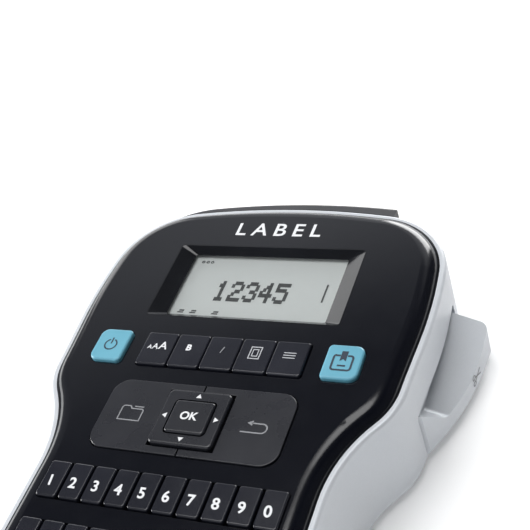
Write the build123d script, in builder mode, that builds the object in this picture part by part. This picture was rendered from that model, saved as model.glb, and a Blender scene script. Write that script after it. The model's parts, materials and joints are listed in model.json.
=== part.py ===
from build123d import *

import math
import os

# Handheld label printer: a keyboard shell on a slim grip, a display, a drop-in tape cassette,
# a thermal print unit with its gear train, and a thumb lever that cuts the finished label.
#
# Millimetres. The printer lies on its back: origin on the back plane, on the left-right centre line,
# +X to the right, +Y towards the head, +Z out of the keyboard face.

# ---------------------------------------------------------------- case
FACE_Z = 37.0           # height of the keyboard face above the back plane
COVER_WALL = 2.6        # front cover side wall
COVER_PLATE = 2.0       # front cover plate
COVER_SKIRT = 30.0      # lowest edge of the front cover
FACE_ROLL = 5.0         # radius that rolls the face into its sides
RIM_Z = 34.2            # top of the rear housing's rim
RIM = 2.0               # rear housing stands this far outside the front cover
BACK_PLATE = 2.2        # rear housing back plate
RIM_EDGE = 1.1          # radius along the top of the rim
BACK_ROLL = 5.0         # radius round the back plane
SHELL_GAP = 0.1         # front cover skirt to rear housing wall

GRIP_HALF = 41.1        # half width of the grip
HEAD_HALF = 54.6        # half width of the head at the lever
BOTTOM_Y = -101.0       # lower end of the face
TOP_Y = 98.9            # upper end of the face
HEAD_CORNER = 25.0      # radii of the face's upper and lower corners
GRIP_CORNER = 16.0

# ---------------------------------------------------------------- face openings and keys
KEY_BOTTOM = 33.7       # underside of every key cap
KEY_TRAVEL = 1.0
KEY_EDGE = 0.5          # rounding of the key tops
OPENING_GAP = 0.25      # key cap to face opening
KEY_TOP = FACE_Z + 1.0
BLUE_TOP = FACE_Z + 1.3
WING_TOP = FACE_Z + 0.5
PAD_TOP = FACE_Z + 1.6
OK_TOP = FACE_Z + 2.1

KEY_PITCH = 7.1
KEY_WIDTH = 6.4
KEY_HEIGHT = 11.1
ROW_PITCH = 17.75
ROW_TOP = -7.0          # upper edge of the digit row
ROW_KEYS = 10
SPACE_COLUMN = 4         # middle column of the space bar
SPACE_COLUMNS = 5
HALF_ROW = KEY_PITCH * ROW_KEYS / 2
KEY_GAP = KEY_PITCH - KEY_WIDTH

FUNCTION_PITCH = 10.48
FUNCTION_WIDTH = 10.2
FUNCTION_HEIGHT = 12.1
FUNCTION_Y = 34.75
BLUE_WIDTH = 10.7
BLUE_X = 36.85
BLUE_HEIGHT = 12.0

NAV_Y = 11.1
NAV_WIDTH = 57.1
NAV_HEIGHT = 23.6
NAV_CORNER = 5.0
PAD_WIDTH = 19.4
PAD_HEIGHT = 18.2
OK_WIDTH = 12.2
OK_HEIGHT = 10.8
PAD_GAP = 0.4
WING_SPLIT = 0.3        # seam between the two wings

DISPLAY_Y = 64.05
BEZEL_WIDTH = 63.4
BEZEL_HEIGHT = 31.3
BEZEL_RIM = 0.3
GLASS_WIDTH = 52.3
GLASS_HEIGHT = 25.9

# ---------------------------------------------------------------- inner levels
BOARD_Z = 28.6
BOARD_THICK = 1.6
MEMBRANE_Z = BOARD_Z + BOARD_THICK
MEMBRANE_THICK = 1.4
PAD_RISE = 0.9          # switch pads under the keys
CHASSIS_Z = 21.6
CHASSIS_THICK = 1.6
GEAR_Z = 24.0
GEAR_THICK = 2.0
MOTOR_Z = GEAR_Z + GEAR_THICK + 0.6     # motor flange, clear of the gears
SHAFT_TOP = GEAR_Z + GEAR_THICK + 0.3
ROLLER_Z = 4.0          # lower end of the platen roller and the print head
ROLLER_LENGTH = 16.0
HUB_Z = 5.0             # lower end of the ribbon spindle and its hub

# ---------------------------------------------------------------- doors
DOOR_Z = 0.3            # outer faces of the doors, clear of the resting plane
DOOR_THICK = 2.0
DOOR_GAP = 0.3
BARREL = 2.9            # hinge barrel radius
BARREL_Z = DOOR_Z + BARREL
HINGE_PIN = 0.9
RUNNING = 0.05          # radial clearance of every running fit
CASSETTE_DOOR_Y = 23.0
CASSETTE_DOOR_LEFT = -42.0
CASSETTE_DOOR_RIGHT = 40.0
LIP_LEFT = -41.0
LIP_RIGHT = 34.7
LIP_THICK = 3.0
LIP_SHIFT = 5.0         # offset of the outer face, which thins the lip towards its left end
LIP_TOP = 33.5
BATTERY_DOOR_Y = -76.0
BATTERY_DOOR_TOP = -22.0
BATTERY_DOOR_HALF = 33.5

# ---------------------------------------------------------------- batteries (six AAA cells)
CELL_RADIUS = 5.25
CELL_LENGTH = 43.7
CELL_NUB = 0.8
CELL_PITCH = 10.7
CELL_Z = 8.4
CELL_Y = -71.0
CELLS = 6
BAY_Y = -48.7           # middle of the battery bay
BAY_WIDTH = 70.8
BAY_LENGTH = 49.0
BAY_WALL = 1.2
BAY_LOW_Z = 6.8
BAY_ROOF_Z = 15.5

# ---------------------------------------------------------------- print unit
MODULE = 0.8
PRESSURE_ANGLE = math.radians(25)
ADDENDUM = 0.7
DEDENDUM = 0.9
BACKLASH = 0.16
PINION_TEETH = 10
IDLER_TEETH = 22
ROLLER_TEETH = 16
MOTOR_AT = (43.0, 56.0)
MOTOR_TO_ROLLER = math.atan2(26.0, -10.5)
RIBBON_BEARING = math.radians(188)
MESH_IDLER = MODULE * (PINION_TEETH + IDLER_TEETH) / 2
MESH_ROLLER = MODULE * (IDLER_TEETH + ROLLER_TEETH) / 2
IDLER_AT = (
    MOTOR_AT[0] + MESH_IDLER * math.cos(MOTOR_TO_ROLLER),
    MOTOR_AT[1] + MESH_IDLER * math.sin(MOTOR_TO_ROLLER),
)
PLATEN_AT = (
    IDLER_AT[0] + MESH_ROLLER * math.cos(MOTOR_TO_ROLLER),
    IDLER_AT[1] + MESH_ROLLER * math.sin(MOTOR_TO_ROLLER),
)
RIBBON_AT = (
    IDLER_AT[0] + MESH_ROLLER * math.cos(RIBBON_BEARING),
    IDLER_AT[1] + MESH_ROLLER * math.sin(RIBBON_BEARING),
)
PLATEN_RADIUS = 4.2
PLATEN_SHAFT = 1.5
SPINDLE = 2.0
STUD = 1.2
MOTOR_SHAFT = 0.75
MOTOR_RADIUS = 5.6
TAPE_X = PLATEN_AT[0] + PLATEN_RADIUS + 0.12
TAPE_THICK = 0.16
TAPE_WIDTH = 12.0
TAPE_Z = 6.0

# ---------------------------------------------------------------- tape cassette
CASSETTE_LEFT = -40.0
CASSETTE_RIGHT = 35.6
CASSETTE_LOW = 27.0
CASSETTE_HIGH = 81.0
CASSETTE_Z = 2.9
CASSETTE_THICK = 18.0
CASSETTE_WALL = 1.2
CASSETTE_CORNER = 4.0
NOTCH_X = 27.4
NOTCH_Y = 76.2
TAPE_ROLL_AT = (-14.0, 53.0)
TAPE_ROLL_RADIUS = 21.0
TAPE_ROLL_BORE = 8.0

# ---------------------------------------------------------------- cutter
LEVER_PIVOT = (50.4, 35.0)
LEVER_LOW_Z = 3.0
LEVER_HIGH_Z = 20.0
LEVER_PIN = 1.5
LEVER_END = 73.0
RAMP_START = 53.6        # inner side of the thumb ramp, under the wall of the housing
RAMP_LOW_Y = 31.2
RAMP_HIGH_Y = 76.0
RAMP_TOP = 34.0          # the ramp's cut runs out above the lever
RAMP_TILT = math.radians(21.8)
WINDOW_LOW = 31.0
WINDOW_HIGH = 74.5
WINDOW_Z = 20.9
SLIDER_LEFT = 44.6
SLIDER_RIGHT = 47.6
SLIDER_LOW = 62.0
SLIDER_HIGH = 88.6
SLIDER_ARM_LOW = 86.2
SLIDER_ARM_LEFT = 40.6
SLIDER_Z = 3.6
SLIDER_TALL = 15.8
BLADE_Y = 87.2
BLADE_THICK = 0.5
BLADE_EDGE = 39.0
SPRING_Y = 65.0
SPRING_Z = 11.5
SPRING_RADIUS = 2.2
SPRING_WIRE = 0.25
SPRING_TURNS = 5
SPRING_POST = 38.0

# ---------------------------------------------------------------- screws
UPPER_POSTS = [(-46.6, 24.4), (46.6, 24.4)]
LOWER_POSTS = [(-34.0, -92.6), (34.0, -92.6)]
POST_RADIUS = 2.4
SCREW_RADIUS = 1.0
SCREW_HOLE = 1.1
HEAD_RADIUS = 1.9
HEAD_RECESS = 2.1
SCREW_TIP = 31.0

os.makedirs("parts", exist_ok=True)


def save(part, name):
    """Labels a finished part and writes it."""
    part.label = name
    export_step(part, "parts/" + name + ".step")


def face_outline(grow=0.0):
    """Outline of the front face: a wide head, a waist and a straight grip, grown outwards."""
    side_top = (51.2, 93.0)
    widest = (HEAD_HALF, 46.0)
    shoulder_start = (53.4, 29.5)
    shoulder_end = (49.4, 18.5)
    flare_start = (GRIP_HALF, -50.0)
    side_bottom = (GRIP_HALF + 1.0, -96.0)
    with BuildLine() as right_side:
        side = ThreePointArc(side_top, (54.65, 71.0), widest)
        hip = TangentArc(widest, shoulder_start, tangent=side % 1)
        shoulder = TangentArc(shoulder_start, shoulder_end, tangent=hip % 1)
        leaning = shoulder % 1
        lean = math.atan2(abs(leaning.X), abs(leaning.Y))
        waist_drop = (shoulder_end[0] - GRIP_HALF) * math.sin(lean) / (1 - math.cos(lean))
        waist_end = (GRIP_HALF, shoulder_end[1] - waist_drop)
        TangentArc(shoulder_end, waist_end, tangent=leaning)
        Line(waist_end, flare_start)
        TangentArc(flare_start, side_bottom, tangent=(0, -1))
    with BuildSketch() as outline:
        with BuildLine():
            add(right_side.line)
            mirror(right_side.line, about=Plane.YZ)
            ThreePointArc((-side_top[0], side_top[1]), (0, TOP_Y), side_top)
            ThreePointArc((-side_bottom[0], side_bottom[1]), (0, BOTTOM_Y), side_bottom)
        make_face()
        corners = outline.vertices().filter_by(lambda v: abs(v.X) > 30)
        fillet(corners.filter_by(lambda v: v.Y > 89), HEAD_CORNER)
        corners = outline.vertices().filter_by(lambda v: abs(v.X) > 30)
        fillet(corners.filter_by(lambda v: v.Y < -95), GRIP_CORNER)
    if not grow:
        return outline.sketch

    # every edge is a line or an arc that runs smoothly into the next, so the grown outline
    # has the same edges, each moved along its own outward normal
    with BuildSketch() as grown:
        with BuildLine():
            for edge in outline.sketch.edges():
                moved = []
                for share in (0.0, 0.5, 1.0):
                    point = edge @ share
                    normal = (edge % share).cross(Vector(0, 0, 1))
                    middle = Vector(0, max(-80.0, min(80.0, point.Y)), 0)
                    outwards = 1 if normal.dot(point - middle) > 0 else -1
                    moved.append(point + normal * (outwards * grow))
                if edge.geom_type == GeomType.LINE:
                    Line(moved[0], moved[2])
                else:
                    ThreePointArc(*moved)
        make_face()
    return grown.sketch


def row_middle(row):
    """Y of the middle of a key row, the digit row being row 0."""
    return ROW_TOP - KEY_HEIGHT / 2 - row * ROW_PITCH


def column_x(column, columns=ROW_KEYS):
    """X of the middle of a key in a row of that many keys."""
    return (column - (columns - 1) / 2) * KEY_PITCH


def blue_key_outline(side, grow=0.0):
    """Outline of an outer command key: side is -1 on the left and +1 on the right."""
    with BuildSketch() as outline:
        with Locations((side * BLUE_X, FUNCTION_Y)):
            Rectangle(BLUE_WIDTH + 2 * grow, BLUE_HEIGHT + 2 * grow)
        outer = outline.vertices().filter_by(lambda v: side * v.X > BLUE_X)
        fillet(outer, 2.6 + grow)
        inner = outline.vertices().filter_by(lambda v: side * v.X < BLUE_X - BLUE_WIDTH / 2 + 0.2)
        fillet(inner, 1.4 + grow)
    return outline.sketch


def key_cap(name, outline, top, edge=KEY_EDGE):
    """A key cap of that outline, from the common underside up to its rounded top."""
    with BuildPart() as cap:
        with BuildSketch(Plane.XY.offset(KEY_BOTTOM)):
            add(outline)
        extrude(amount=top - KEY_BOTTOM)
        fillet(cap.faces().sort_by(Axis.Z)[-1].edges(), edge)
    save(cap.part, name)


def rounded(width, height, corner, x, y):
    """A rounded rectangle centred on a point."""
    with BuildSketch() as outline:
        with Locations((x, y)):
            RectangleRounded(width, height, corner)
    return outline.sketch


def gear_outline(teeth, first_tooth, centre):
    """Involute gear outline with its first tooth centred on an angle."""
    pitch_r = MODULE * teeth / 2
    base_r = pitch_r * math.cos(PRESSURE_ANGLE)
    root_r = pitch_r - DEDENDUM
    tip_r = pitch_r + ADDENDUM
    start_r = max(base_r, root_r)
    half_pitch = math.pi / (2 * teeth) - BACKLASH / (2 * pitch_r)
    involute_pitch = math.tan(PRESSURE_ANGLE) - PRESSURE_ANGLE
    flank_steps = 4
    flank = [(root_r, None)]
    for step in range(flank_steps + 1):
        r = start_r + (tip_r - start_r) * step / flank_steps
        angle = math.acos(min(1.0, base_r / r))
        flank.append((r, half_pitch + involute_pitch - math.tan(angle) + angle))
    flank[0] = (root_r, flank[1][1])
    if start_r - root_r < 0.01:
        flank = flank[1:]
    points = []
    for tooth in range(teeth):
        middle = first_tooth + 2 * math.pi * tooth / teeth
        for r, half in flank:
            points.append((r * math.cos(middle - half), r * math.sin(middle - half)))
        for r, half in reversed(flank):
            points.append((r * math.cos(middle + half), r * math.sin(middle + half)))
    with BuildSketch() as outline:
        with BuildLine():
            Polyline(*[(centre[0] + x, centre[1] + y) for x, y in points], close=True)
        make_face()
    return outline.sketch


def meshing_tooth(teeth_a, first_a, teeth_b, bearing):
    """First tooth angle of gear B that meshes with gear A along a bearing from A to B."""
    return bearing + math.pi + ((bearing - first_a) * teeth_a - math.pi) / teeth_b


# ================================================================ rear housing
with BuildPart() as rear_housing:
    with BuildSketch():
        add(face_outline(RIM))
    extrude(amount=RIM_Z)
    fillet(rear_housing.faces().sort_by(Axis.Z)[0].edges(), BACK_ROLL)
    fillet(rear_housing.faces().sort_by(Axis.Z)[-1].edges(), RIM_EDGE)
    with BuildSketch(Plane.XY.offset(BACK_PLATE)):
        add(face_outline(SHELL_GAP))
    extrude(amount=RIM_Z, mode=Mode.SUBTRACT)

    # screw posts
    with BuildSketch(Plane.XY.offset(BACK_PLATE - 0.5)):
        with Locations(*UPPER_POSTS, *LOWER_POSTS):
            Circle(POST_RADIUS)
    extrude(amount=CHASSIS_Z - BACK_PLATE + 0.5)

    # cassette bay mouth in the back plate, and the notch where the door wraps over the top wall
    with BuildSketch():
        add(face_outline(-3.6 + DOOR_GAP))
        with BuildSketch(mode=Mode.INTERSECT):
            with Locations(((CASSETTE_DOOR_LEFT + CASSETTE_DOOR_RIGHT) / 2, 60.0)):
                Rectangle(CASSETTE_DOOR_RIGHT - CASSETTE_DOOR_LEFT + 2 * DOOR_GAP, 80.4)
    extrude(amount=BACK_PLATE, mode=Mode.SUBTRACT)
    with BuildSketch():
        with Locations(((LIP_LEFT + LIP_RIGHT) / 2, 95.0)):
            Rectangle(LIP_RIGHT - LIP_LEFT + 2 * DOOR_GAP, 30.0)
    extrude(amount=DOOR_Z + DOOR_THICK + DOOR_GAP, mode=Mode.SUBTRACT)

    # battery bay mouth, and the bay itself as a roofed box hung between the side walls
    with BuildSketch():
        with Locations((0, (BATTERY_DOOR_Y - BARREL + BATTERY_DOOR_TOP) / 2)):
            Rectangle(
                2 * (BATTERY_DOOR_HALF + DOOR_GAP),
                BATTERY_DOOR_TOP - BATTERY_DOOR_Y + BARREL + 2 * DOOR_GAP,
            )
    extrude(amount=BACK_PLATE, mode=Mode.SUBTRACT)
    with BuildSketch(Plane.XY.offset(BAY_LOW_Z)):
        with Locations((0, BAY_Y)):
            Rectangle(BAY_WIDTH, BAY_LENGTH)
            Rectangle(BAY_WIDTH - 2 * BAY_WALL, BAY_LENGTH - 2 * BAY_WALL, mode=Mode.SUBTRACT)
    extrude(amount=BAY_ROOF_Z - BAY_LOW_Z + 0.2)
    with BuildSketch(Plane.XY.offset(BAY_ROOF_Z)):
        with Locations((0, BAY_Y)):
            Rectangle(2 * (GRIP_HALF + 0.4), BAY_LENGTH)
    extrude(amount=BAY_WALL)

    # lugs that hold the two hinge pins
    for lug in (
        (CASSETTE_DOOR_LEFT - 1.9, CASSETTE_DOOR_Y),
        (CASSETTE_DOOR_RIGHT + 1.9, CASSETTE_DOOR_Y),
        (-BATTERY_DOOR_HALF - 1.9, BATTERY_DOOR_Y),
        (BATTERY_DOOR_HALF + 1.9, BATTERY_DOOR_Y),
    ):
        with BuildSketch(Plane.XY.offset(BACK_PLATE / 2)):
            with Locations(lug):
                Rectangle(3.0, 5.2)
        extrude(amount=BACK_PLATE / 2 + 3.4)
    with BuildSketch(Plane.YZ.offset(CASSETTE_DOOR_LEFT - 2.9)):
        with Locations((CASSETTE_DOOR_Y, BARREL_Z)):
            Circle(HINGE_PIN)
    extrude(amount=CASSETTE_DOOR_RIGHT - CASSETTE_DOOR_LEFT + 5.8, mode=Mode.SUBTRACT)
    with BuildSketch(Plane.YZ.offset(-BATTERY_DOOR_HALF - 2.9)):
        with Locations((BATTERY_DOOR_Y, BARREL_Z)):
            Circle(HINGE_PIN)
    extrude(amount=2 * BATTERY_DOOR_HALF + 5.8, mode=Mode.SUBTRACT)

    # screw holes and the recesses for the screw heads
    with BuildSketch():
        with Locations(*UPPER_POSTS, *LOWER_POSTS):
            Circle(SCREW_HOLE)
    extrude(amount=CHASSIS_Z, mode=Mode.SUBTRACT)
    with BuildSketch():
        with Locations(*UPPER_POSTS, *LOWER_POSTS):
            Circle(HEAD_RECESS)
    extrude(amount=1.7, mode=Mode.SUBTRACT)

    # window for the cutter lever, its pivot boss, and the label exit slot
    with BuildSketch(Plane.YZ.offset(HEAD_HALF - 2.5)):
        with Locations(((WINDOW_LOW + WINDOW_HIGH) / 2, (BACK_PLATE + WINDOW_Z) / 2)):
            RectangleRounded(WINDOW_HIGH - WINDOW_LOW, WINDOW_Z - BACK_PLATE, 1.5)
    extrude(amount=8.0, mode=Mode.SUBTRACT)
    with BuildSketch():
        with Locations(LEVER_PIVOT):
            Circle(LEVER_PIN)
    extrude(amount=BACK_PLATE, mode=Mode.SUBTRACT)
    with BuildSketch(Plane.XZ.offset(-88.0)):
        with Locations((TAPE_X + 0.2, (BACK_PLATE + 19.0) / 2 + 1.0)):
            RectangleRounded(2.2, 16.0, 0.8)
    extrude(amount=-14.0, mode=Mode.SUBTRACT)

save(rear_housing.part, "rear_housing")


# ================================================================ front cover
with BuildPart() as front_cover:
    with BuildSketch(Plane.XY.offset(COVER_SKIRT)):
        add(face_outline())
    extrude(amount=FACE_Z - COVER_SKIRT)
    fillet(front_cover.faces().sort_by(Axis.Z)[-1].edges(), FACE_ROLL)
    with BuildSketch(Plane.XY.offset(COVER_SKIRT)):
        add(face_outline(-COVER_WALL))
    extrude(amount=FACE_Z - COVER_PLATE - COVER_SKIRT, mode=Mode.SUBTRACT)

    # openings for the display, the command keys, the navigation cluster and the key rows
    with BuildSketch(Plane.XY.offset(COVER_SKIRT)):
        with Locations((0, DISPLAY_Y)):
            RectangleRounded(BEZEL_WIDTH + 0.1, BEZEL_HEIGHT + 0.1, 1.5)
        with Locations((0, FUNCTION_Y)):
            RectangleRounded(5 * FUNCTION_PITCH + 0.3, FUNCTION_HEIGHT + 2 * OPENING_GAP, 1.0)
        add(blue_key_outline(-1, OPENING_GAP))
        add(blue_key_outline(1, OPENING_GAP))
        with Locations((0, NAV_Y)):
            RectangleRounded(
                NAV_WIDTH + 2 * OPENING_GAP, NAV_HEIGHT + 2 * OPENING_GAP, NAV_CORNER
            )
        for row in range(5):
            with Locations((0, row_middle(row))):
                RectangleRounded(
                    2 * HALF_ROW - KEY_GAP + 2 * OPENING_GAP, KEY_HEIGHT + 2 * OPENING_GAP, 1.2
                )
    extrude(amount=FACE_Z - COVER_SKIRT, mode=Mode.SUBTRACT)

    # posts that take the case screws
    for posts, post_foot in (
        (UPPER_POSTS, CHASSIS_Z + CHASSIS_THICK),
        (LOWER_POSTS, CHASSIS_Z),
    ):
        for post in posts:
            with BuildSketch(Plane.XY.offset(post_foot)):
                with Locations(post):
                    Circle(POST_RADIUS)
            extrude(amount=FACE_Z - COVER_PLATE / 2 - post_foot)
            with BuildSketch(Plane.XY.offset(post_foot)):
                with Locations(post):
                    Circle(SCREW_RADIUS)
            extrude(amount=SCREW_TIP + 0.5 - post_foot, mode=Mode.SUBTRACT)
save(front_cover.part, "front_cover")

# ================================================================ display
with BuildPart() as display_bezel:
    with BuildSketch(Plane.XY.offset(FACE_Z - COVER_PLATE)):
        with Locations((0, DISPLAY_Y)):
            RectangleRounded(BEZEL_WIDTH, BEZEL_HEIGHT, 1.4)
    extrude(amount=COVER_PLATE)
    with BuildSketch(Plane.XY.offset(FACE_Z - COVER_PLATE)):
        with Locations((0, DISPLAY_Y)):
            RectangleRounded(GLASS_WIDTH, GLASS_HEIGHT, 0.5)
    with BuildSketch(Plane.XY.offset(FACE_Z)):
        with Locations((0, DISPLAY_Y)):
            RectangleRounded(BEZEL_WIDTH - 2 * BEZEL_RIM, BEZEL_HEIGHT - 2 * BEZEL_RIM, 1.1)
    loft(mode=Mode.SUBTRACT)
save(display_bezel.part, "display_bezel")

window_z = FACE_Z - COVER_PLATE - 1.0
with BuildPart() as display_window:
    with BuildSketch(Plane.XY.offset(window_z)):
        with Locations((0, DISPLAY_Y)):
            RectangleRounded(GLASS_WIDTH + 5.0, GLASS_HEIGHT + 4.0, 1.0)
    extrude(amount=0.95)
save(display_window.part, "display_window")

with BuildPart() as lcd_panel:
    with BuildSketch(Plane.XY.offset(window_z - 1.9)):
        with Locations((0, DISPLAY_Y)):
            Rectangle(GLASS_WIDTH + 2.6, GLASS_HEIGHT + 2.6)
    extrude(amount=1.7)
save(lcd_panel.part, "lcd_panel")

with BuildPart() as lcd_carrier:
    with BuildSketch(Plane.XY.offset(MEMBRANE_Z)):
        with Locations((0, DISPLAY_Y)):
            RectangleRounded(GLASS_WIDTH + 7.0, GLASS_HEIGHT + 5.6, 1.0)
    extrude(amount=window_z - 0.1 - MEMBRANE_Z)
    with BuildSketch(Plane.XY.offset(window_z - 2.0)):
        with Locations((0, DISPLAY_Y)):
            Rectangle(GLASS_WIDTH + 2.8, GLASS_HEIGHT + 2.8)
    extrude(amount=2.0, mode=Mode.SUBTRACT)
save(lcd_carrier.part, "lcd_carrier")

# ================================================================ board and switch membrane
with BuildPart() as main_board:
    with BuildSketch(Plane.XY.offset(BOARD_Z)):
        with Locations((0, -32.0)):
            RectangleRounded(75.0, 114.0, 1.5)
        with Locations((0, 33.0)):
            Rectangle(87.0, 17.0)
        with Locations((0, 62.0)):
            RectangleRounded(60.0, 44.0, 1.5)
    extrude(amount=BOARD_THICK)
    chip_z = BOARD_Z - 1.2
    with BuildSketch(Plane.XY.offset(chip_z)):
        with Locations((-12.0, 8.0)):
            Rectangle(12.0, 12.0)
        with Locations((12.0, 10.0), (12.0, -4.0)):
            Rectangle(8.0, 5.0)
        with Locations((-14.0, -8.0)):
            Rectangle(11.0, 4.0)
    extrude(amount=1.2)
save(main_board.part, "main_board")

with BuildPart() as key_membrane:
    with BuildSketch(Plane.XY.offset(MEMBRANE_Z)):
        with Locations((0, -32.4)):
            RectangleRounded(74.4, 112.0, 1.5)
        with Locations((0, 33.5)):
            Rectangle(86.4, 20.0)
    extrude(amount=MEMBRANE_THICK)
    with BuildSketch(Plane.XY.offset(MEMBRANE_Z + MEMBRANE_THICK)):
        for row in range(5):
            with Locations((0, row_middle(row))):
                with GridLocations(KEY_PITCH, 1, ROW_KEYS, 1):
                    Circle(1.6)
        with Locations((0, FUNCTION_Y)):
            with GridLocations(FUNCTION_PITCH, 1, 5, 1):
                Circle(2.0)
        with Locations((-BLUE_X, FUNCTION_Y), (BLUE_X, FUNCTION_Y), (0, NAV_Y)):
            Circle(2.0)
        with Locations((-20.0, NAV_Y), (20.0, NAV_Y)):
            Circle(2.0)
    extrude(amount=PAD_RISE)
save(key_membrane.part, "key_membrane")

# ================================================================ keys
digit_names = ["1", "2", "3", "4", "5", "6", "7", "8", "9", "0"]
for column, digit in enumerate(digit_names):
    key_cap(
        "digit_key_" + digit,
        rounded(KEY_WIDTH, KEY_HEIGHT, 0.9, column_x(column), row_middle(0)),
        KEY_TOP,
    )

function_names = ["size_key", "bold_key", "italic_key", "frame_key", "menu_key"]
for column, key in enumerate(function_names):
    key_cap(
        key,
        rounded(FUNCTION_WIDTH, FUNCTION_HEIGHT, 0.9, (column - 2) * FUNCTION_PITCH, FUNCTION_Y),
        KEY_TOP,
    )

key_cap("power_key", blue_key_outline(-1), BLUE_TOP, 0.7)
key_cap("print_key", blue_key_outline(1), BLUE_TOP, 0.7)
key_cap("ok_key", rounded(OK_WIDTH, OK_HEIGHT, 1.2, 0, NAV_Y), OK_TOP, 0.7)

for name, side in (("memory_key", -1), ("back_key", 1)):
    with BuildSketch() as wing:
        with Locations((0, NAV_Y)):
            RectangleRounded(NAV_WIDTH, NAV_HEIGHT, NAV_CORNER)
            Rectangle(PAD_WIDTH + 2 * PAD_GAP, PAD_HEIGHT + 2 * PAD_GAP, mode=Mode.SUBTRACT)
        with Locations((-side * (NAV_WIDTH - WING_SPLIT) / 2, NAV_Y)):
            Rectangle(NAV_WIDTH, NAV_HEIGHT, mode=Mode.SUBTRACT)
    key_cap(name, wing.sketch, WING_TOP, 0.25)

with BuildPart() as nav_pad:
    with BuildSketch(Plane.XY.offset(KEY_BOTTOM)):
        with Locations((0, NAV_Y)):
            RectangleRounded(PAD_WIDTH, PAD_HEIGHT, 1.6)
    extrude(amount=PAD_TOP - KEY_BOTTOM)
    fillet(nav_pad.faces().sort_by(Axis.Z)[-1].edges(), 0.7)
    with BuildSketch(Plane.XY.offset(KEY_BOTTOM)):
        with Locations((0, NAV_Y)):
            RectangleRounded(OK_WIDTH + 2 * PAD_GAP, OK_HEIGHT + 2 * PAD_GAP, 1.5)
    extrude(amount=PAD_TOP - KEY_BOTTOM, mode=Mode.SUBTRACT)
save(nav_pad.part, "nav_pad")


def key_row(name, row, first, count):
    """Several neighbouring caps of one key row as separate solids of one node."""
    with BuildPart() as caps:
        middle = (column_x(first) + column_x(first + count - 1)) / 2
        with BuildSketch(Plane.XY.offset(KEY_BOTTOM)):
            with Locations((middle, row_middle(row))):
                with GridLocations(KEY_PITCH, 1, count, 1):
                    RectangleRounded(KEY_WIDTH, KEY_HEIGHT, 0.9)
        extrude(amount=KEY_TOP - KEY_BOTTOM)
        fillet(caps.faces().filter_by(lambda f: f.center().Z > KEY_TOP - 0.01).edges(), KEY_EDGE)
    save(caps.part, name)


key_row("top_row_keys", 1, 0, 10)
key_row("home_row_keys", 2, 0, 10)
key_row("bottom_row_keys", 3, 1, 9)
key_row("shift_key", 3, 0, 1)

with BuildPart() as control_keys:
    with BuildSketch(Plane.XY.offset(KEY_BOTTOM)):
        for column in range(ROW_KEYS):
            if abs(column - SPACE_COLUMN) > SPACE_COLUMNS / 2:
                with Locations((column_x(column), row_middle(4))):
                    RectangleRounded(KEY_WIDTH, KEY_HEIGHT, 0.9)
    extrude(amount=KEY_TOP - KEY_BOTTOM)
    top_faces = control_keys.faces().filter_by(lambda f: f.center().Z > KEY_TOP - 0.01)
    fillet(top_faces.edges(), KEY_EDGE)
save(control_keys.part, "control_keys")

key_cap(
    "space_key",
    rounded(
        KEY_PITCH * SPACE_COLUMNS - KEY_GAP,
        KEY_HEIGHT,
        0.9,
        column_x(SPACE_COLUMN),
        row_middle(4),
    ),
    KEY_TOP,
)

# ================================================================ cassette door
door_middle = (CASSETTE_DOOR_LEFT + CASSETTE_DOOR_RIGHT) / 2
door_width = CASSETTE_DOOR_RIGHT - CASSETTE_DOOR_LEFT
lip_middle = (LIP_LEFT + LIP_RIGHT) / 2
with BuildPart() as cassette_door:
    with BuildSketch(Plane.XY.offset(DOOR_Z)):
        add(face_outline(-3.6))
        with BuildSketch(mode=Mode.INTERSECT):
            with Locations((door_middle, CASSETTE_DOOR_Y + 40.0)):
                Rectangle(door_width, 80.0)
    extrude(amount=DOOR_THICK)
    with BuildSketch(Plane.XY.offset(DOOR_Z)):
        add(face_outline(RIM + DOOR_GAP + LIP_THICK).moved(Location((LIP_SHIFT, 0, 0))))
        with BuildSketch(mode=Mode.INTERSECT):
            with Locations((lip_middle, 93.0)):
                Rectangle(LIP_RIGHT - LIP_LEFT, 26.0)
    extrude(amount=DOOR_THICK)
    with BuildSketch(Plane.XY.offset(DOOR_Z)):
        add(face_outline(RIM + DOOR_GAP + LIP_THICK).moved(Location((LIP_SHIFT, 0, 0))))
        add(face_outline(RIM + DOOR_GAP), mode=Mode.SUBTRACT)
        with BuildSketch(mode=Mode.INTERSECT):
            with Locations((lip_middle, 98.0)):
                Rectangle(LIP_RIGHT - LIP_LEFT, 16.0)
    extrude(amount=LIP_TOP - DOOR_Z)
    lip_top = cassette_door.faces().sort_by(Axis.Z)[-1]
    fillet(lip_top.edges().sort_by(Axis.Y)[-1], 1.0)
    with BuildSketch(Plane.YZ.offset(CASSETTE_DOOR_LEFT)):
        with Locations((CASSETTE_DOOR_Y, BARREL_Z)):
            Circle(BARREL)
    extrude(amount=door_width)
    with BuildSketch(Plane.YZ.offset(CASSETTE_DOOR_LEFT)):
        with Locations((CASSETTE_DOOR_Y, BARREL_Z)):
            Circle(HINGE_PIN + RUNNING)
    extrude(amount=door_width, mode=Mode.SUBTRACT)
save(cassette_door.part, "cassette_door")

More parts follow.
